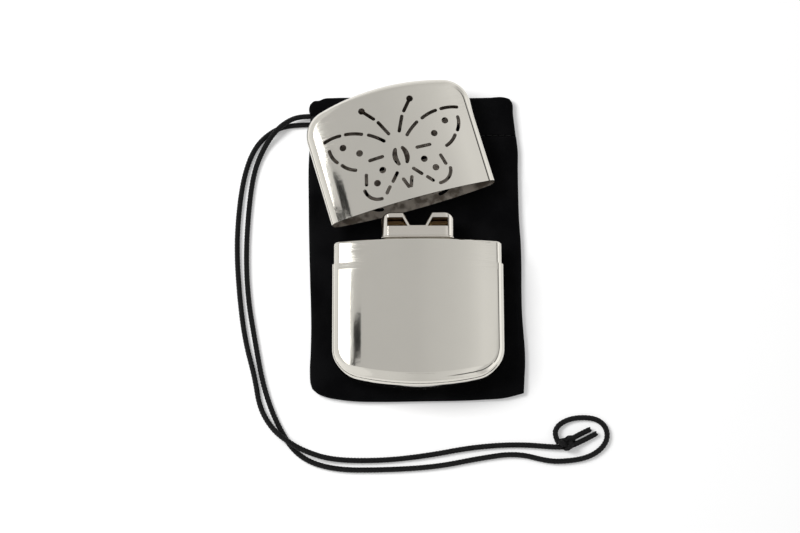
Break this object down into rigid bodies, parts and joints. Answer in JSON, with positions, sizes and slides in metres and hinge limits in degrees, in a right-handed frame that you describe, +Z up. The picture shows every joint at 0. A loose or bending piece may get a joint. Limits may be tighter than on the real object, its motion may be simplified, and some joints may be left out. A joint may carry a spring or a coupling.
{
  "type": "catalytic hand warmer",
  "caption": "Pocket catalytic hand warmer opened for lighting: fuel tank with burner, vented slip-on cap, and the flat drawstring pouch they lie on.",
  "frame": {"origin": "middle of the pouch on the surface that it lies on", "axes": "+Y along the warmer from the tank to the cap, +Z up from the surface, +X to the right seen from above"},
  "size_m": [0.1489, 0.1586, 0.0207],
  "materials": {
    "bright_metal": "mirror-bright nickel and chrome plate on drawn sheet",
    "neck_metal": "plain plated sheet, slightly dull",
    "cotton": "loose absorbent cotton wadding",
    "felt": "dense off-white felt",
    "burner_metal": "bright plated sheet, straw tinted by heat inside",
    "gauze_wire": "fine woven wire gauze",
    "catalyst": "glass-fibre mat with platinum, grey brown",
    "velvet": "black short-pile velvet",
    "cord": "black braided cord"
  },
  "bodies": {
    "pouch": {"pouch_back": "velvet", "pouch_front": "velvet", "hem_casing": "velvet", "hem_cord": "cord", "cord_inner": "cord", "cord_outer": "cord", "cord_tail_a": "cord", "cord_tail_b": "cord", "cord_knot": "cord"},
    "tank": {"tank_shell": "bright_metal", "tank_collar": "bright_metal", "filler_neck": "neck_metal", "cotton_wadding": "cotton", "wick_felt": "felt"},
    "burner": {"burner_skirt": "burner_metal", "burner_hood": "burner_metal", "gauze_frame": "burner_metal", "lower_gauze": "gauze_wire", "catalyst_mat": "catalyst", "upper_gauze": "gauze_wire"},
    "cap": {"cap_shell": "bright_metal"}
  },
  "joints": [
    {"name": "tank_lift", "type": "slide", "parent": "pouch", "child": "tank", "axis": [0, 0, 1], "range_m": [0, 0.06]},
    {"name": "burner_pull", "type": "slide", "parent": "tank", "child": "burner", "axis": [0, 1, 0], "range_m": [0, 0.02]},
    {"name": "cap_slide", "type": "slide", "parent": "pouch", "child": "cap", "axis": [-0.2723, 0.9622, 0], "range_m": [-0.005, 0.045]}
  ]
}
